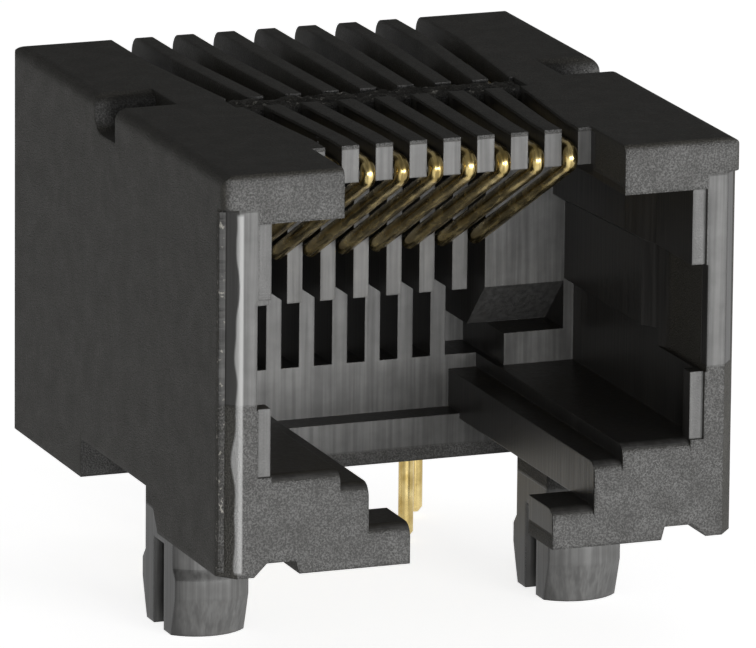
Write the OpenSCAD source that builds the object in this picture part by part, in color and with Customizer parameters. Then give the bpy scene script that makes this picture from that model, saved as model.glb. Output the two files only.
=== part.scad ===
// Side-entry 8-position modular jack for a printed circuit board.
// One moulded housing with a plug port, a latch slot and two split board-lock
// posts, and eight formed round-wire contacts that lie in the fanned comb on
// its roof. X is across the port, the port opens towards -Y, +Z is up.
// The origin is on the board plane, midway between the two posts.

/* [Housing] */
// Overall width of the housing
body_w = 15.5; // [15.2:0.1:18]
// Overall depth from the port face to the rear comb face
body_d = 18; // [17.9:0.1:20]
// Height of the roof above the board plane
body_h = 11.5; // [11:0.1:13]
// Rounding of the long roof edges and upright rear corners
edge_r = 0.35; // [0.2:0.05:0.6]
// Flat cut off each upright front corner below the cap
corner_cut = 0.45; // [0.2:0.05:0.5]
// Height of the square-cornered cap at the top of the port face
cap_h = 0.95; // [0.8:0.05:1.3]
// Thickness of the roof over the plug port
roof_t = 1.4; // [1.3:0.05:1.5]

/* [Plug port] */
// Width between the port side walls
port_w = 12.6; // [12:0.1:13]
// Height of the guide rails that carry the plug above the board plane
rail_h = 2.85; // [2.6:0.05:3]
// Depth of the port from its face to the upper rear fins
port_d = 9.66; // [9.5:0.05:9.9]
// Width of the slot between the rails for the plug latch
latch_w = 6.8; // [6.2:0.1:7]
// Width of the shallow step on top of the rails
step_w = 8.5; // [8:0.1:9]
// Depth of the shallow step below the rail tops
step_drop = 0.43; // [0.3:0.05:0.6]
// Clear width between the two front feet
tab_gap = 4.3; // [4:0.1:5]
// Height of the front feet above the board plane
tab_h = 1.15; // [1:0.05:1.6]
// Depth of the front feet
tab_d = 1.85; // [1.5:0.05:2.2]

/* [Roof comb] */
// Contact spacing at the front of the comb
pitch_front = 1.016; // [1.0:0.004:1.04]
// Contact spacing at the rear of the comb and at the board
pitch_rear = 1.27; // [1.25:0.01:1.29]
// Distance from the port face to the comb teeth
comb_y = 2.6; // [2.4:0.05:2.8]
// Slot width at the front of the comb
slot_front = 0.5; // [0.48:0.01:0.52]
// Slot width at the rear of the comb
slot_rear = 0.8; // [0.7:0.05:0.85]
// Width of the bar staked down across the comb
stake_w = 1.15; // [0.8:0.05:1.4]

/* [Contacts] */
// Diameter of the contact wire
wire_d = 0.45; // [0.4:0.01:0.45]
// Slope of the contacts inside the port, in degrees
wire_slope = 27.5; // [27:0.5:28.5]
// Reach of the solder tails below the board plane
tail_h = 3.3; // [2.8:0.1:3.6]

/* [Board-lock posts] */
// Spacing of the two posts
post_spacing = 11.43; // [11.43:0.01:11.43]
// Diameter of the post shank
post_d = 3.2; // [3:0.05:3.25]
// Width of each post between its flat sides
post_flat_w = 2.2; // [2:0.1:2.4]
// Width of the slot that splits each post
post_slot = 0.8; // [0.6:0.05:0.9]
// Length of the shank below the board plane
neck_h = 1.45; // [1.2:0.05:1.7]
// Reach of the posts below the board plane
post_h = 3.45; // [3.2:0.05:3.8]

/* [Hidden] */
$fn = 48;
contact_count = 8;
ways = [1 : contact_count];
big = 40;
eps = 0.01;
// distance from the port face back to the post axis
post_y = 7.75;
half_w = body_w / 2;
port_half = port_w / 2;
latch_half = latch_w / 2;
step_half = step_w / 2;
tab_half = tab_gap / 2;
// standoff of the underside between the feet
standoff = 1.15;
side_wall_in = 6.7;
// heel that slopes up from the front foot to the standoff
heel_y = 5.3;
heel_run = 0.7;
cap_z = body_h - cap_h;
ceiling_h = body_h - roof_t;
// notch cut in the port face in front of the comb
notch_half = 4.2;
// comb slots and the thin web between them and the port
web_t = 0.55;
slot_z = ceiling_h + web_t;
web_y = 4.1;
tooth_rise = 0.33;
tooth_z = ceiling_h + tooth_rise;
fan_start_y = 3.65;
slot_fan_end_y = 14.5;
wire_fan_end_y = 13.2;
// contact path
wire_seat = 0.01;
run_z = slot_z + wire_seat + wire_d / 2;
bend_r = 0.24;
bend_y = 2.8;
tip_y = 9.9;
tail_bend_r = 0.55;
// distance from the post axis to the front tail row, and between the rows
row_back = 6.35;
row_gap = 2.54;
row_front_y = post_y + row_back;
row_rear_y = row_front_y + row_gap;
channel_gap = 0.05;
// fins at the rear of the port
fin_slot = 0.55;
fin_step_z = 5.22;
fin_low_y = 11.35;
fin_slot_end = 12.9;
pocket_floor = 1.3;
bar_y = 10.45;
bar_half = 5.9;
rear_foot_y = 11.85;
// staked bar
stake_y = 8.65;
stake_top = body_h - 0.14;
stake_low = run_z + wire_d / 2 + wire_seat;
// roof recesses
recess_y0 = 9;
recess_y1 = 10.7;
recess_drop = 1;
recess_z = body_h - recess_drop;
recess_in = 5.9;
// shallow recess in each port wall behind the mouth
window_in = port_half + 0.45;
window_z0 = 4.8;
window_z1 = 7.9;
window_d = 2.4;
window_r = 2.4;
// strip that narrows each side of the port below its ceiling
strip_in = 5.92;
strip_drop = 2.3;
strip_bevel = 0.3;
strip_front_y = 4.2;
// post barb
barb_step = 0.18;
barb_d = post_d + 2 * barb_step;
barb_rise = 0.3;
barb_land = 0.55;
tip_d = post_d - 0.2;
slot_top = -0.9;

// contact number to signed position about the middle
function side(n) = n - (contact_count + 1) / 2;
function row_y(n) = n % 2 == 1 ? row_front_y : row_rear_y;

// box given by its two corners
module box(lo, hi) {
    translate(lo)
        cube(hi - lo);
}

// the same feature on both sides of the jack
module both_sides() {
    children();
    mirror([1, 0, 0])
        children();
}

// rectangle centred on X with all corners rounded
module rounded_plan(w, y0, y1, r) {
    translate([-w / 2, y0 + r])
        square([w, y1 - y0 - 2 * r]);
    translate([-w / 2 + r, y0])
        square([w - 2 * r, y1 - y0]);
    for (sx = [-1, 1])
        for (y = [y0 + r, y1 - r])
            translate([sx * (w / 2 - r), y])
                circle(r);
}

// sharp edge along X turned into a quarter round; the solid lies
// towards (dy, dz) from the edge
module round_off(x0, x1, y, z, dy, dz, r) {
    difference() {
        box([x0, min(y - dy * eps, y + dy * r), min(z - dz * eps, z + dz * r)],
            [x1, max(y - dy * eps, y + dy * r), max(z - dz * eps, z + dz * r)]);
        translate([x0 - 1, y + dy * r, z + dz * r])
            rotate([0, 90, 0])
                cylinder(h = x1 - x0 + 2, r = r);
    }
}

// outer block: rounded in plan, in front view and in side view
module outer_block() {
    intersection() {
        linear_extrude(height = body_h)
            rounded_plan(body_w, 0, body_d, edge_r);
        translate([0, body_d, 0])
            rotate([90, 0, 0])
                linear_extrude(height = body_d)
                    rounded_plan(body_w, -big, body_h, edge_r);
        translate([-half_w, 0, 0])
            rotate([90, 0, 90])
                linear_extrude(height = body_w)
                    side_outline();
    }
}

// side view of the block: small round at the front, larger at the rear
module side_outline() {
    front_r = 0.25;
    rear_r = 0.55;
    square([body_d, body_h - rear_r]);
    translate([front_r, 0])
        square([body_d - front_r - rear_r, body_h]);
    translate([0, body_h - rear_r - eps])
        square([front_r + eps, rear_r - front_r + eps]);
    translate([front_r, body_h - front_r])
        circle(front_r);
    translate([body_d - rear_r, body_h - rear_r])
        circle(rear_r);
}

// upright front corners cut back below the cap
module front_corner_cuts() {
    both_sides()
        translate([0, 0, -1])
            linear_extrude(height = cap_z + 1)
                polygon([[half_w - corner_cut, -1],
                         [half_w - corner_cut, 0],
                         [half_w, corner_cut + 0.1],
                         [half_w + 1, corner_cut + 0.1],
                         [half_w + 1, -1]]);
}

// plug port, the lower wall recesses and the notch in front of the comb
module port_cuts() {
    sill_d = 0.6;
    low_half = port_half + 0.3;
    ledge_z = 5.3;
    strip_relief = 0.12;
    box([-port_half, -1, rail_h], [port_half, port_d, ceiling_h]);
    both_sides()
        box([port_half - 1, sill_d, rail_h], [low_half, port_d, ledge_z]);
    box([-notch_half, -1, ceiling_h - 1], [notch_half, comb_y, body_h + 1]);
    // shallow relief behind the textured strips beside the mouth
    both_sides() {
        box([port_half - 1, -1, rail_h],
            [side_wall_in, strip_relief, window_z0 + eps]);
        box([port_half - 1, -1, window_z1 - eps],
            [side_wall_in, strip_relief, ceiling_h]);
    }
}

// recess in each port wall at the mouth, running out in a curve
module window_cuts() {
    both_sides() {
        box([port_half - 1, -1, window_z0], [window_in, window_d, window_z1]);
        intersection() {
            translate([window_in - window_r, window_d, window_z0])
                cylinder(h = window_z1 - window_z0, r = window_r);
            box([port_half - 1, window_d - eps, window_z0],
                [window_in, window_d + window_r, window_z1]);
        }
    }
}

// bevelled strip that narrows the port below its ceiling; it rises slightly
// towards the mouth and tapers away there
module ceiling_strip() {
    root = port_half + 0.1;
    rise = 2;
    foot_z = ceiling_h - strip_drop - strip_bevel;
    intersection() {
        linear_extrude(height = ceiling_h + web_t / 2)
            polygon([[strip_in, port_d + eps],
                     [strip_in, strip_front_y],
                     [root, window_d],
                     [root, port_d + eps]]);
        translate([0, port_d + 1, 0])
            rotate([90 - rise, 0, 0])
                linear_extrude(height = port_d + 1)
                    polygon([[root + 1, foot_z],
                             [root, foot_z],
                             [strip_in, foot_z + strip_bevel],
                             [strip_in - 1, foot_z + strip_bevel],
                             [strip_in - 1, body_h],
                             [root + 1, body_h]]);
    }
}

// slot between the rails for the latch, open to the board
module latch_cuts() {
    box([-latch_half, tab_d, -1], [latch_half, bar_y, rail_h + eps]);
    box([-tab_half, -1, -1], [tab_half, bar_y, rail_h + eps]);
    box([-latch_half, -1, tab_h], [latch_half, bar_y, rail_h + eps]);
    box([-step_half, -1, rail_h - step_drop],
        [step_half, fin_low_y, rail_h + eps]);
    box([-latch_half, bar_y - eps, pocket_floor],
        [latch_half, fin_low_y, rail_h + eps]);
}

// softened edges of the rails and front feet
module rail_rounds() {
    r = 0.4;
    both_sides() {
        round_off(latch_half, step_half, 0, rail_h - step_drop, 1, -1, r);
        round_off(step_half, port_half, 0, rail_h, 1, -1, r);
        round_off(tab_half, latch_half, 0, tab_h, 1, -1, r);
    }
}

// pocket below the upper fins, and beside it the slanted underside of each
// rear panel with the block below
module rear_pocket() {
    panel_in = 3.82;
    block_in = 4.45;
    block_z = 3.8;
    slant_run = 1.4;
    shoulder_run = 0.45;
    shoulder_drop = 0.45;
    box([-panel_in, port_d - eps, rail_h], [panel_in, fin_low_y, fin_step_z]);
    both_sides() {
        box([panel_in - eps, port_d - eps, rail_h - eps],
            [block_in, fin_slot_end, block_z + eps]);
        translate([panel_in - eps, port_d, 0])
            rotate([90, 0, 90])
                linear_extrude(height = port_half - panel_in)
                    polygon([[-eps, block_z],
                             [slant_run, block_z],
                             [shoulder_run, fin_step_z - shoulder_drop],
                             [0, fin_step_z],
                             [-eps, fin_step_z]]);
    }
}

// slots between the fins at the rear of the port
module fin_slots() {
    for (n = ways)
        translate([side(n) * pitch_front - fin_slot / 2, port_d - eps, rail_h])
            cube([fin_slot, fin_slot_end - port_d, ceiling_h - rail_h]);
}

// plan of one roof slot, fanning from the front spacing to the rear
module slot_plan(n, y_end) {
    xf = side(n) * pitch_front;
    xr = side(n) * pitch_rear;
    polygon([[xf - slot_front / 2, -1],
             [xf + slot_front / 2, -1],
             [xf + slot_front / 2, fan_start_y],
             [xr + slot_rear / 2, slot_fan_end_y],
             [xr + slot_rear / 2, y_end],
             [xr - slot_rear / 2, y_end],
             [xr - slot_rear / 2, slot_fan_end_y],
             [xf - slot_front / 2, fan_start_y]]);
}

// roof slots, the gaps between the comb teeth and the tail channels
module comb_cuts() {
    channel_half = wire_d / 2 + channel_gap;
    for (n = ways) {
        translate([0, 0, slot_z])
            linear_extrude(height = body_h)
                slot_plan(n, body_d + 1);
        intersection() {
            translate([0, 0, ceiling_h - 1])
                linear_extrude(height = body_h)
                    slot_plan(n, body_d + 1);
            box([-big, 0, 0], [big, web_y, big]);
        }
        // upright channel for the tail, open at the rear
        box([side(n) * pitch_rear - slot_rear / 2,
             row_y(n) - tail_bend_r - channel_half, -1],
            [side(n) * pitch_rear + slot_rear / 2, body_d + 1, slot_z + eps]);
    }
    // relief under the comb teeth
    box([-notch_half, 0, ceiling_h - 1], [notch_half, web_y, tooth_z]);
}

// plastic upset over the contacts: it closes the slots above the wires
module stake_fill() {
    box([-4.6, stake_y - stake_w / 2, stake_low],
        [4.6, stake_y + stake_w / 2, stake_top]);
}

module stake_groove() {
    box([-4.45, stake_y - stake_w / 2, stake_top],
        [4.45, stake_y + stake_w / 2, body_h + 1]);
}

// recess across each roof edge between the cap and the rear block
module roof_recesses() {
    root_r = 0.5;
    lip_r = 0.5;
    both_sides() {
        difference() {
            box([recess_in, recess_y0, recess_z], [big, recess_y1, body_h + 1]);
            // rounded root below the rear block
            translate([0, recess_y1 - root_r, recess_z + root_r])
                rotate([0, 90, 0])
                    difference() {
                        cube([root_r + 1, root_r + 1, big]);
                        cylinder(h = 3 * big, r = root_r, center = true);
                    }
        }
        round_off(recess_in, half_w + 1, recess_y1, body_h, 1, -1, lip_r);
    }
}

// underside: standoff arches, bar behind the latch slot and the feet
module underside_cuts() {
    gap_h = 0.38;
    gap_in = 5.45;
    gap_out = 6.8;
    box([-side_wall_in, tab_d, -1], [side_wall_in, bar_y, standoff]);
    both_sides() {
        box([bar_half, heel_y + heel_run, -1],
            [half_w + 1, rear_foot_y, standoff]);
        translate([bar_half, 0, 0])
            rotate([90, 0, 90])
                linear_extrude(height = half_w)
                    polygon([[heel_y, 0],
                             [heel_y, -1],
                             [heel_y + heel_run + eps, -1],
                             [heel_y + heel_run + eps, standoff],
                             [heel_y + heel_run, standoff]]);
        // shallow clearance between the front foot and the side wall
        translate([0, tab_d + eps, 0])
            rotate([90, 0, 0])
                linear_extrude(height = tab_d + 1)
                    polygon([[gap_in, -1],
                             [gap_in, 0],
                             [gap_in + 0.1, gap_h],
                             [gap_out - gap_h, gap_h],
                             [gap_out, 0],
                             [gap_out, -1]]);
    }
}

// split barbed post that locks in the board hole
module post() {
    translate([post_spacing / 2, post_y, 0])
        difference() {
            intersection() {
                union() {
                    translate([0, 0, -neck_h])
                        cylinder(h = neck_h + standoff + eps, d = post_d);
                    translate([0, 0, -neck_h - barb_rise])
                        cylinder(h = barb_rise, d1 = barb_d, d2 = post_d);
                    translate([0, 0, -neck_h - barb_rise - barb_land])
                        cylinder(h = barb_land + eps, d = barb_d);
                    translate([0, 0, -post_h])
                        cylinder(h = post_h - neck_h - barb_rise - barb_land + eps,
                                 d1 = tip_d, d2 = barb_d);
                }
                box([-post_flat_w / 2, -big, -big], [post_flat_w / 2, big, big]);
            }
            box([-big, -post_slot / 2, -big], [big, post_slot / 2, slot_top]);
        }
}

module housing_shape() {
    difference() {
        union() {
            difference() {
                outer_block();
                front_corner_cuts();
                port_cuts();
                latch_cuts();
                rail_rounds();
                rear_pocket();
                fin_slots();
                comb_cuts();
                roof_recesses();
                underside_cuts();
            }
            stake_fill();
            both_sides()
                ceiling_strip();
        }
        stake_groove();
        window_cuts();
    }
    both_sides()
        post();
}

module housing() {
    color("dimgray")
        translate([0, -post_y, 0])
            housing_shape();
}

// wire lying along Y on the floor of a roof slot
module run_wire(x, y0, y1) {
    translate([x, y0, run_z])
        rotate([-90, 0, 0])
            cylinder(h = y1 - y0, d = wire_d);
}

// end of a wire with its edge broken, pointing up
module wire_end() {
    cylinder(h = wire_d / 3, d1 = wire_d, d2 = wire_d / 2);
}

// bent piece of wire: a quarter or more of a ring lying in the XY plane
module bent_wire(r, sweep) {
    rotate_extrude(angle = sweep)
        translate([r, 0])
            circle(d = wire_d);
}

// front bend and the leg that runs back into the port from its end
module front_leg(x) {
    leg = (tip_y - bend_y) / cos(wire_slope);
    translate([x, bend_y, run_z - bend_r])
        rotate([90, 0, 90])
            rotate([0, 0, 270 - wire_slope]) {
                mirror([0, 1, 0])
                    bent_wire(bend_r, 180 - wire_slope);
                translate([bend_r, 0, 0])
                    rotate([-90, 0, 0]) {
                        cylinder(h = leg, d = wire_d);
                        translate([0, 0, leg])
                            wire_end();
                    }
            }
}

// rear bend and the solder tail below it
module tail_leg(x, y) {
    tail_top = run_z - tail_bend_r;
    tail_low = wire_d / 3 - tail_h;
    translate([x, y - tail_bend_r, tail_top])
        rotate([90, 0, 90])
            bent_wire(tail_bend_r, 90);
    translate([x, y, tail_low])
        cylinder(h = tail_top - tail_low, d = wire_d);
    translate([x, y, tail_low])
        mirror([0, 0, 1])
            wire_end();
}

// roof run: straight, then fanned outwards, then straight again; the small
// kinks are rounded by balls that the straight pieces end inside
module roof_run(xf, xr, y0, y1, y2, y3) {
    gap = 0.02;
    ball_d = wire_d + 0.016;
    fan = atan2(xr - xf, y2 - y1);
    run_wire(xf, y0, y1 - gap);
    translate([xf, y1, run_z]) {
        sphere(d = ball_d);
        rotate([0, 0, -fan])
            rotate([-90, 0, 0])
                translate([0, 0, gap])
                    cylinder(h = norm([xr - xf, y2 - y1]) - 2 * gap, d = wire_d);
    }
    translate([xr, y2, run_z])
        sphere(d = ball_d);
    run_wire(xr, y2 + gap, y3);
}

// one contact: tip in the port, front bend, roof run, rear bend and tail
module contact(n) {
    xf = side(n) * pitch_front;
    xr = side(n) * pitch_rear;
    row = row_y(n);
    color("goldenrod")
        translate([0, -post_y, 0]) {
            front_leg(xf);
            roof_run(xf, xr, bend_y, fan_start_y, wire_fan_end_y, row - tail_bend_r);
            tail_leg(xr, row);
        }
}

housing();
contact(1);  // contact_1
contact(2);  // contact_2
contact(3);  // contact_3
contact(4);  // contact_4
contact(5);  // contact_5
contact(6);  // contact_6
contact(7);  // contact_7
contact(8);  // contact_8
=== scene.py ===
import math
import random
import bpy
from mathutils import Matrix, Vector, noise as field


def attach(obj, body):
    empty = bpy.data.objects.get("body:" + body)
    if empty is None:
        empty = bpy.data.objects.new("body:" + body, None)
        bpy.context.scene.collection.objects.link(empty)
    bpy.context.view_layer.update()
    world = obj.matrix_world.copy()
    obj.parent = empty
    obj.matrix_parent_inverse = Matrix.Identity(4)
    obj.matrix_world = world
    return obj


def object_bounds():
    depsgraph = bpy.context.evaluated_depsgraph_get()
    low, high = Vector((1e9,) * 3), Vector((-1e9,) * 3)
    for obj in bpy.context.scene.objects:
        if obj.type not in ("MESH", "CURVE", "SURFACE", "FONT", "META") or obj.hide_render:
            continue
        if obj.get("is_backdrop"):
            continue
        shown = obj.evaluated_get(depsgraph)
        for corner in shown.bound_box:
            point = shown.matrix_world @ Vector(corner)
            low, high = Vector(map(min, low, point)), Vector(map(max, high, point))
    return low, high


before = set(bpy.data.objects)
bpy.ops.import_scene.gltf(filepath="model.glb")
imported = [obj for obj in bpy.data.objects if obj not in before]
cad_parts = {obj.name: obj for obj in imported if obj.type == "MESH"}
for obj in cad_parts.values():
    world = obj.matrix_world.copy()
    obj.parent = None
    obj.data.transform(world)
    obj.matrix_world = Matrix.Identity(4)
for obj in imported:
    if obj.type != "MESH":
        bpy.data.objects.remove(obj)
lo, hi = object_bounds()
cad_box = [list(lo), list(hi)]
MM = 0.001
FRONT_Y = -7.75                 # port face in the row frame, mm
ROOF_Z = cad_box[1][2] / MM     # highest plane of the housing, mm
SIDE_X = cad_box[1][0] / MM     # outer side of the housing, mm
PORT_X = 6.72                   # half width of the port with its side strips, mm
CAP_Z = 10.5                    # underside of the front cap, mm
STRIP_Z = 4.95                  # lower end of the smooth strips beside the port, mm
FAR = 9.0                       # open bound of a mask, beyond the faces that it is about, mm
BAR_TOP = ROOF_Z - 0.14         # top of the staked bar, mm
BAR_Y = 8.65                    # middle of the staked bar behind the port face, mm
SEAM_Y = 8.43                   # parting line in the bar at the middle, mm
SEAM_SLOPE = 0.035              # the line's lean across the width
CHAMFER = 0.45                  # chamfer of the front corners, mm
scene = bpy.context.scene


# ---------------------------------------------------------------- node helpers
def new_material(name):
    mat = bpy.data.materials.new(name)
    mat.use_nodes = True
    nt = mat.node_tree
    nt.nodes.clear()
    out = nt.nodes.new("ShaderNodeOutputMaterial")
    bsdf = nt.nodes.new("ShaderNodeBsdfPrincipled")
    nt.links.new(bsdf.outputs[0], out.inputs[0])
    return mat, nt, bsdf


def node(nt, kind, **values):
    n = nt.nodes.new(kind)
    for key, value in values.items():
        setattr(n, key, value)
    return n


def plug(nt, sock, value):
    if isinstance(value, (int, float)):
        sock.default_value = value
    elif isinstance(value, tuple):
        sock.default_value = value if len(value) == len(sock.default_value) else (*value, 1.0)
    else:
        nt.links.new(value, sock)


def maths(nt, op, a, b=0.0, clamp=False):
    n = node(nt, "ShaderNodeMath", operation=op, use_clamp=clamp)
    plug(nt, n.inputs[0], a)
    plug(nt, n.inputs[1], b)
    return n.outputs[0]


def blend_value(nt, fac, a, b):
    n = node(nt, "ShaderNodeMix", data_type="FLOAT")
    plug(nt, n.inputs[0], fac)
    plug(nt, n.inputs[2], a)
    plug(nt, n.inputs[3], b)
    return n.outputs[0]


def blend_colour(nt, fac, a, b):
    n = node(nt, "ShaderNodeMix", data_type="RGBA")
    plug(nt, n.inputs[0], fac)
    plug(nt, n.inputs[6], a)
    plug(nt, n.inputs[7], b)
    return n.outputs[2]


def noise(nt, coords, scale, detail=2.0, rough=0.5, stretch=None):
    if stretch:
        m = node(nt, "ShaderNodeMapping")
        m.inputs["Scale"].default_value = stretch
        nt.links.new(coords, m.inputs["Vector"])
        coords = m.outputs[0]
    n = node(nt, "ShaderNodeTexNoise")
    n.inputs["Scale"].default_value = scale
    n.inputs["Detail"].default_value = detail
    n.inputs["Roughness"].default_value = rough
    nt.links.new(coords, n.inputs["Vector"])
    return n.outputs[0]


def remap(nt, value, a0, a1, b0, b1):
    n = node(nt, "ShaderNodeMapRange")
    plug(nt, n.inputs["Value"], value)
    for key, v in (("From Min", a0), ("From Max", a1), ("To Min", b0), ("To Max", b1)):
        n.inputs[key].default_value = v
    return n.outputs[0]


def inside(nt, value, low, high, soft):
    """1 between low and high, falling to 0 over soft on each side. Value in metres, bounds in mm."""
    up = remap(nt, value, (low - soft) * MM, (low + soft) * MM, 0.0, 1.0)
    down = remap(nt, value, (high - soft) * MM, (high + soft) * MM, 1.0, 0.0)
    return maths(nt, "MULTIPLY", up, down)


def product(nt, *values):
    out = values[0]
    for v in values[1:]:
        out = maths(nt, "MULTIPLY", out, v)
    return out


# ---------------------------------------------------------------- materials
def plastic_material(name, chipped=0.0, crease_shade_y=None):
    mat, nt, bsdf = new_material(name)
    pos = node(nt, "ShaderNodeTexCoord").outputs["Object"]
    sep = node(nt, "ShaderNodeSeparateXYZ")
    nt.links.new(pos, sep.inputs[0])
    x, y, z = sep.outputs
    ax = maths(nt, "ABSOLUTE", x)
    port = product(nt, inside(nt, ax, -1, PORT_X, 0.02), inside(nt, z, 0.4, CAP_Z - 0.15, 0.05),
                   inside(nt, y, FRONT_Y + 0.1, FAR, 0.03))
    comb = product(nt, inside(nt, ax, -1, 4.6, 0.02), inside(nt, z, 9.9, ROOF_Z - 0.1, 0.02),
                   inside(nt, y, FRONT_Y + 2.3, FRONT_Y + 7.6, 0.1))
    strip = product(nt, inside(nt, ax, PORT_X, FAR, 0.03), inside(nt, z, STRIP_Z, CAP_Z, 0.04),
                    inside(nt, y, -FAR, FRONT_Y + 0.42, 0.02))
    # faces that look forward are painted lighter, to match the photo: the plastic is the same
    face = node(nt, "ShaderNodeSeparateXYZ")
    nt.links.new(node(nt, "ShaderNodeTexCoord").outputs["Normal"], face.inputs[0])
    facing = remap(nt, face.outputs[1], -0.9, -0.6, 1.0, 0.0)
    post = inside(nt, z, -FAR, -0.1, 0.05)
    cored = maths(nt, "MAXIMUM", port, comb)
    polished = maths(nt, "MAXIMUM", cored, maths(nt, "MAXIMUM", strip, post))
    grain = noise(nt, pos, 19000.0, 2.0, 0.6)
    fine = noise(nt, pos, 26000.0, 1.0, 0.5)
    mottle = noise(nt, pos, 1300.0, 3.0, 0.55)
    streak = noise(nt, pos, 6500.0, 2.0, 0.6, stretch=(1.0, 1.0, 0.03))
    # colour: matt skin with pale specks, polished skin with faint vertical drawing marks
    skin = blend_colour(nt, remap(nt, grain, 0.42, 0.68, 0.0, 1.0),
                        (0.024, 0.0225, 0.0185), (0.052, 0.0495, 0.042))
    # lighter colour for faces that look forward: painted sheen, the plastic is the same
    front_skin_painted_sheen = blend_colour(nt, remap(nt, grain, 0.42, 0.62, 0.0, 1.0),
                              (0.046, 0.0455, 0.044), (0.122, 0.121, 0.118))
    skin = blend_colour(nt, facing, skin, front_skin_painted_sheen)
    drawn = blend_colour(nt, remap(nt, streak, 0.4, 0.7, 0.0, 1.0),
                         (0.018, 0.0175, 0.017), (0.034, 0.033, 0.032))
    # the same painted sheen on polished faces that look forward
    front_drawn_painted_sheen = blend_colour(nt, remap(nt, streak, 0.35, 0.65, 0.0, 1.0),
                               (0.080, 0.0795, 0.078), (0.130, 0.1295, 0.127))
    drawn = blend_colour(nt, facing, drawn, front_drawn_painted_sheen)
    base = blend_colour(nt, polished, skin, drawn)
    base = blend_colour(nt, remap(nt, mottle, 0.35, 0.7, 0.0, 0.35), base, (0.026, 0.025, 0.023))
    # pale band beside the left front chamfer, painted in where the photo has a wavy highlight
    wave = noise(nt, pos, 420.0, 1.0, 0.5, stretch=(0.0, 0.0, 1.0))
    wave = maths(nt, "MULTIPLY", maths(nt, "SUBTRACT", wave, 0.5), 0.5 * MM)
    wave = maths(nt, "SUBTRACT", x, wave)
    band = product(nt, remap(nt, wave, -7.37 * MM, -7.33 * MM, 0.0, 1.0),
                   remap(nt, x, -7.19 * MM, -7.14 * MM, 1.0, 0.0),
                   inside(nt, z, 0.15, CAP_Z - 0.1, 0.05),
                   inside(nt, y, -FAR, FRONT_Y + 0.4, 0.02))
    base = blend_colour(nt, maths(nt, "MULTIPLY", band, 0.85), base, (0.34, 0.34, 0.335))
    if crease_shade_y:
        # parting line where the two rows of upset plastic meet, darkened: painted shade in the
        # crease
        line = maths(nt, "ADD", y, maths(nt, "MULTIPLY", x, SEAM_SLOPE))
        wander = maths(nt, "MULTIPLY", maths(nt, "SUBTRACT", mottle, 0.5), 0.25 * MM)
        line = maths(nt, "ADD", line, wander)
        base = blend_colour(nt, inside(nt, line, crease_shade_y - 0.05, crease_shade_y + 0.05, 0.03),
                            base, (0.006, 0.006, 0.006))
    if chipped:
        chips = remap(nt, noise(nt, pos, 5200.0, 3.0, 0.6), 0.60, 0.68, 0.0, chipped)
        base = blend_colour(nt, chips, base, (0.30, 0.29, 0.26))
    nt.links.new(base, bsdf.inputs["Base Color"])
    matt = maths(nt, "SUBTRACT", remap(nt, mottle, 0.3, 0.7, 0.62, 0.70),
                 maths(nt, "MULTIPLY", facing, 0.12))
    gloss = remap(nt, streak, 0.3, 0.7, 0.32, 0.42)
    nt.links.new(blend_value(nt, polished, matt, gloss), bsdf.inputs["Roughness"])
    bsdf.inputs["Specular IOR Level"].default_value = 0.30
    round_edge = node(nt, "ShaderNodeBevel", samples=4)
    nt.links.new(blend_value(nt, cored, 0.20 * MM, 0.05 * MM), round_edge.inputs["Radius"])
    relief = maths(nt, "ADD", grain, maths(nt, "MULTIPLY", fine, 0.6))
    height = blend_value(nt, polished, relief, maths(nt, "MULTIPLY", streak, 0.18))
    bump = node(nt, "ShaderNodeBump")
    bump.inputs["Strength"].default_value = 1.0
    bump.inputs["Distance"].default_value = 0.04 * MM
    nt.links.new(height, bump.inputs["Height"])
    nt.links.new(round_edge.outputs[0], bump.inputs["Normal"])
    nt.links.new(bump.outputs[0], bsdf.inputs["Normal"])
    return mat


def gold_material():
    mat, nt, bsdf = new_material("contact_gold")
    pos = node(nt, "ShaderNodeTexCoord").outputs["Object"]
    tarnish = noise(nt, pos, 1400.0, 3.0, 0.6)
    drawn = noise(nt, pos, 9000.0, 2.0, 0.6, stretch=(1.0, 0.12, 0.12))
    base = blend_colour(nt, remap(nt, tarnish, 0.35, 0.7, 0.0, 1.0),
                        (0.44, 0.32, 0.11), (0.78, 0.63, 0.30))
    legs = node(nt, "ShaderNodeSeparateXYZ")
    nt.links.new(pos, legs.inputs[0])
    # dark drawing marks along the legs, laid only on the legs in the port: partly real marks, partly
    # painted shade of the port; none on the solder tails
    marks_and_port_shade = maths(nt, "MULTIPLY", remap(nt, drawn, 0.40, 0.58, 0.7, 0.0),
                  inside(nt, legs.outputs[2], 4.0, 12.0, 0.2))
    base = blend_colour(nt, marks_and_port_shade, base, (0.15, 0.11, 0.04))
    nt.links.new(base, bsdf.inputs["Base Color"])
    bsdf.inputs["Metallic"].default_value = 1.0
    nt.links.new(remap(nt, drawn, 0.3, 0.7, 0.20, 0.32), bsdf.inputs["Roughness"])
    bump = node(nt, "ShaderNodeBump")
    bump.inputs["Strength"].default_value = 0.25
    bump.inputs["Distance"].default_value = 0.01 * MM
    nt.links.new(drawn, bump.inputs["Height"])
    nt.links.new(bump.outputs[0], bsdf.inputs["Normal"])
    return mat


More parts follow.
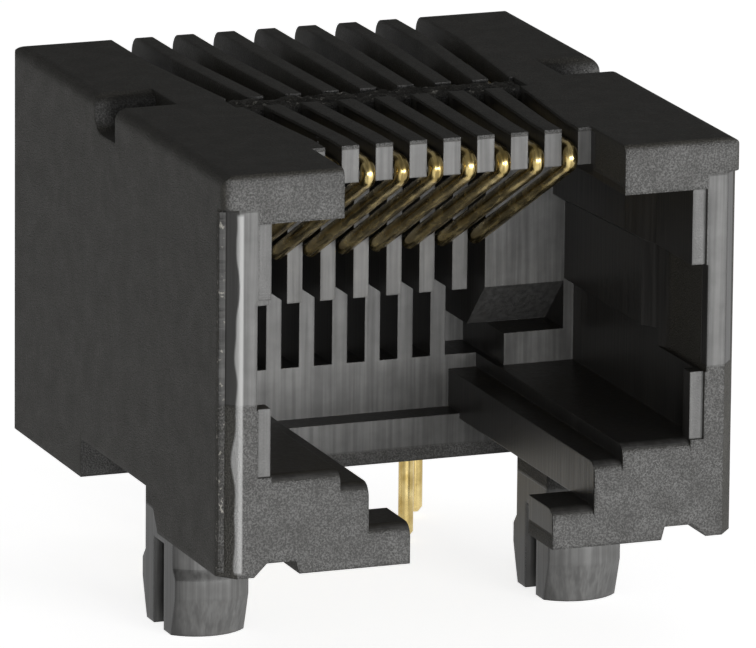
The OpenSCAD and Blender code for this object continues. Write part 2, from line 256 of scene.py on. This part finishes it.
def floor_material():
    """Pale floor with the part's shadow, lifted to white only for the lens and for gloss."""
    mat, nt, bsdf = new_material("floor_white")
    pos = node(nt, "ShaderNodeTexCoord").outputs["Object"]
    cloud = noise(nt, pos, 20.0, 2.0, 0.5)
    pale = blend_colour(nt, cloud, (0.86, 0.86, 0.86), (0.88, 0.88, 0.88))
    nt.links.new(pale, bsdf.inputs["Base Color"])
    bsdf.inputs["Roughness"].default_value = 0.8
    bsdf.inputs["Specular IOR Level"].default_value = 0.1
    path = node(nt, "ShaderNodeLightPath")
    seen = maths(nt, "MAXIMUM", path.outputs["Is Camera Ray"], path.outputs["Is Glossy Ray"])
    seen = maths(nt, "MAXIMUM", seen, path.outputs["Is Transmission Ray"])
    bsdf.inputs["Emission Color"].default_value = (1, 1, 1, 1)
    nt.links.new(maths(nt, "MULTIPLY", seen, 0.80), bsdf.inputs["Emission Strength"])
    return mat


plastic = plastic_material("housing_plastic")
gold = gold_material()
for name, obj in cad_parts.items():
    mat = plastic if name == "housing" else gold
    if not obj.material_slots:
        obj.data.materials.append(mat)
    for slot in obj.material_slots:
        slot.material = mat


# ---------------------------------------------------------------- staking and moulding marks
def piece(name, verts, faces, mat, smooth=False):
    """Verts in mm, measured from the port face, the board plane and the middle."""
    mesh = bpy.data.meshes.new(name)
    mesh.from_pydata([(vx * MM, (vy + FRONT_Y) * MM, vz * MM) for vx, vy, vz in verts], [], faces)
    if smooth:
        mesh.shade_smooth()
    obj = bpy.data.objects.new(name, mesh)
    scene.collection.objects.link(obj)
    mesh.materials.append(mat)
    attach(obj, "root")
    return obj


def grid_faces(rows, cols):
    return [(r * cols + c, r * cols + c + 1, (r + 1) * cols + c + 1, (r + 1) * cols + c)
            for r in range(rows - 1) for c in range(cols - 1)]


def staked_bar():
    """Plastic pushed up in rough lumps on both sides of the line left by the staking tool."""
    rows, cols = 36, 230
    half_x, half_y = 4.44, 0.56
    verts = []
    for r in range(rows):
        for c in range(cols):
            vx = -half_x + 2 * half_x * c / (cols - 1)
            vy = BAR_Y - half_y + 2 * half_y * r / (rows - 1)
            lump = field.fractal(Vector((vx * 2.6, vy * 3.4, 1.7)), 0.8, 2.0, 4)
            grit = field.noise(Vector((vx * 14.0, vy * 14.0, 5.0)))
            lift = 0.055 + 0.10 * lump + 0.03 * grit
            wander = 0.05 * field.noise(Vector((vx * 1.6, 0.0, 9.0)))
            gap = abs(vy - (SEAM_Y - SEAM_SLOPE * vx + wander))
            lift *= min(1.0, gap / 0.09)
            edge = min(1.0, (half_y - abs(vy - BAR_Y)) / 0.08, (half_x - abs(vx)) / 0.1)
            lift = max(0.0, min(0.155, 0.022 + lift)) * max(0.0, edge)
            verts.append((vx, vy, BAR_TOP - 0.02 + lift))
    return piece("staked_bar", verts, grid_faces(rows, cols), staked, smooth=True)


def edge_flash():
    """Thin burr down the outer edge of the left front chamfer."""
    rows = 420
    z0, z1 = 0.15, 10.45
    across = ((0.62, 0.0), (0.50, 0.06), (0.42, 0.07), (0.30, 0.0))  # place and height, mm
    verts = []
    for r in range(rows):
        vz = z0 + (z1 - z0) * r / (rows - 1)
        wide = 0.5 + 0.5 * field.noise(Vector((0.0, 0.0, vz * 2.1)))
        ragged = field.noise(Vector((3.0, 0.0, vz * 11.0)))
        for vy, height in across:
            rise = height * max(0.15, min(1.0, wide + 0.6 * ragged))
            out = -SIDE_X + 0.005 + max(0.0, CHAMFER - vy)
            vy_now = vy - rise * 0.7
            vx_now = max(-SIDE_X + 0.002, out - rise * 0.7 + 0.004)
            verts.append((vx_now, vy_now, vz))
    return piece("edge_flash", verts, grid_faces(rows, len(across)), flashed)


def chips():
    """Loose-edged flecks of pale plastic where the housing was staked and trimmed."""
    rng = random.Random(11)
    places = [(-1.6, 9.7, 11.40, 0.06), (-2.2, 9.6, 11.41, 0.05), (-0.9, 9.75, 11.40, 0.06),
              (0.4, 9.6, 11.41, 0.05), (-3.96, 2.72, 11.36, 0.15), (-3.66, 3.6, 11.42, 0.07),
              (-3.45, 4.2, 11.42, 0.05),
              (-2.46, 9.01, 11.40, 0.08), (-1.88, 8.95, 11.41, 0.09), (-1.2, 9.1, 11.41, 0.08),
              (-0.98, 9.2, 11.41, 0.07), (-0.47, 8.88, 11.41, 0.08), (-0.11, 9.03, 11.41, 0.07),
              (0.75, 8.9, 11.41, 0.06), (1.3, 9.1, 11.42, 0.05), (2.4, 8.95, 11.42, 0.06),
              (3.75, 8.95, 11.41, 0.08), (0.7, 8.0, 11.42, 0.06), (-4.1, 8.3, 11.40, 0.06),
              (-3.3, 8.85, 11.41, 0.05), (-2.9, 8.2, 11.41, 0.05), (1.9, 8.2, 11.42, 0.05)]
    ring = 7
    verts, faces = [], []
    for px, py, pz, r in places:
        base = len(verts)
        for k in range(ring):
            a = 2 * math.pi * k / ring
            q = r * rng.uniform(0.6, 1.25)
            verts.append((px + q * math.cos(a), py + q * math.sin(a), pz - 0.35 * r))
        verts.append((px + r * rng.uniform(-0.3, 0.3), py + r * rng.uniform(-0.3, 0.3),
                      min(ROOF_Z - 0.005, pz + 0.55 * r)))
        verts.append((px, py, pz - 0.7 * r))
        for k in range(ring):
            faces.append((base + k, base + (k + 1) % ring, base + ring))
            faces.append((base + (k + 1) % ring, base + k, base + ring + 1))
    return piece("plastic_flecks", verts, faces, flashed)


staked = plastic_material("staked_plastic", chipped=0.75, crease_shade_y=FRONT_Y + SEAM_Y)
flashed = plastic_material("flashed_plastic", chipped=1.0)
staked_bar()
edge_flash()
chips()

# ---------------------------------------------------------------- camera
AZ, EL, ROLL = math.radians(-21.041), math.radians(14.081), math.radians(0.537)
FOCAL_PX, DIST = 10552.0, 294.8 * MM
WIDTH_PX, HEIGHT_PX = 756.0, 648.0
AXIS_PX, AIM_PX = (378.23, 320.39), (483.56, 384.27)
TARGET = Vector((0.0, FRONT_Y * MM, 5.0 * MM))
back = Vector((math.sin(AZ) * math.cos(EL), -math.cos(AZ) * math.cos(EL), math.sin(EL)))
right = (-back).cross(Vector((0, 0, 1))).normalized()
up = right.cross(-back)
cam_x = right * math.cos(ROLL) + up * math.sin(ROLL)
cam_y = up * math.cos(ROLL) - right * math.sin(ROLL)
off_x = (AIM_PX[0] - AXIS_PX[0]) / FOCAL_PX * DIST
off_y = (AIM_PX[1] - AXIS_PX[1]) / FOCAL_PX * DIST
cam = bpy.data.objects.new("camera", bpy.data.cameras.new("camera"))
scene.collection.objects.link(cam)
cam.matrix_world = Matrix((
    (cam_x.x, cam_y.x, back.x, 0), (cam_x.y, cam_y.y, back.y, 0),
    (cam_x.z, cam_y.z, back.z, 0), (0, 0, 0, 1)))
cam.location = TARGET + back * DIST - cam_x * off_x + cam_y * off_y
cam.data.sensor_fit = "HORIZONTAL"
cam.data.sensor_width = 36.0
cam.data.lens = FOCAL_PX / WIDTH_PX * cam.data.sensor_width
cam.data.shift_x = (WIDTH_PX / 2 - AXIS_PX[0]) / WIDTH_PX
cam.data.shift_y = (AXIS_PX[1] - HEIGHT_PX / 2) / WIDTH_PX
cam.data.clip_start = 0.001
scene.camera = cam


# ---------------------------------------------------------------- floor and light
def plane(name, size, z):
    mesh = bpy.data.meshes.new(name)
    h = size / 2
    mesh.from_pydata([(-h, -h, z), (h, -h, z), (h, h, z), (-h, h, z)], [], [(0, 1, 2, 3)])
    obj = bpy.data.objects.new(name, mesh)
    scene.collection.objects.link(obj)
    return obj


floor = plane("floor", 3.0, cad_box[0][2])
floor.data.materials.append(floor_material())
floor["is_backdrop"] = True


def softbox(name, azimuth, elevation, dist, width, height, power):
    a, e = math.radians(azimuth), math.radians(elevation)
    data = bpy.data.lights.new(name, "AREA")
    data.shape = "RECTANGLE"
    data.size, data.size_y = width, height
    data.energy = power
    obj = bpy.data.objects.new(name, data)
    scene.collection.objects.link(obj)
    way = Vector((math.sin(a) * math.cos(e), -math.cos(a) * math.cos(e), math.sin(e)))
    obj.location = Vector((0, 0, 5 * MM)) + way * dist
    obj.rotation_euler = (-way).to_track_quat("-Z", "Y").to_euler()
    return obj


softbox("front_softbox", 20, 2.2, 0.30, 0.19, 0.028, 0.88)
softbox("left_softbox", -14, 2.2, 0.30, 0.06, 0.028, 0.32)

world = bpy.data.worlds.new("world")
scene.world = world
world.use_nodes = True
wnt = world.node_tree
wnt.nodes.clear()
wout = wnt.nodes.new("ShaderNodeOutputWorld")
sky = wnt.nodes.new("ShaderNodeBackground")
sky.inputs[0].default_value = (1, 1, 1, 1)
path = wnt.nodes.new("ShaderNodeLightPath")
wnt.links.new(blend_value(wnt, path.outputs["Is Camera Ray"], 0.22, 1.0), sky.inputs[1])
wnt.links.new(sky.outputs[0], wout.inputs[0])
scene.view_settings.view_transform = "Standard"

lo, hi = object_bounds()
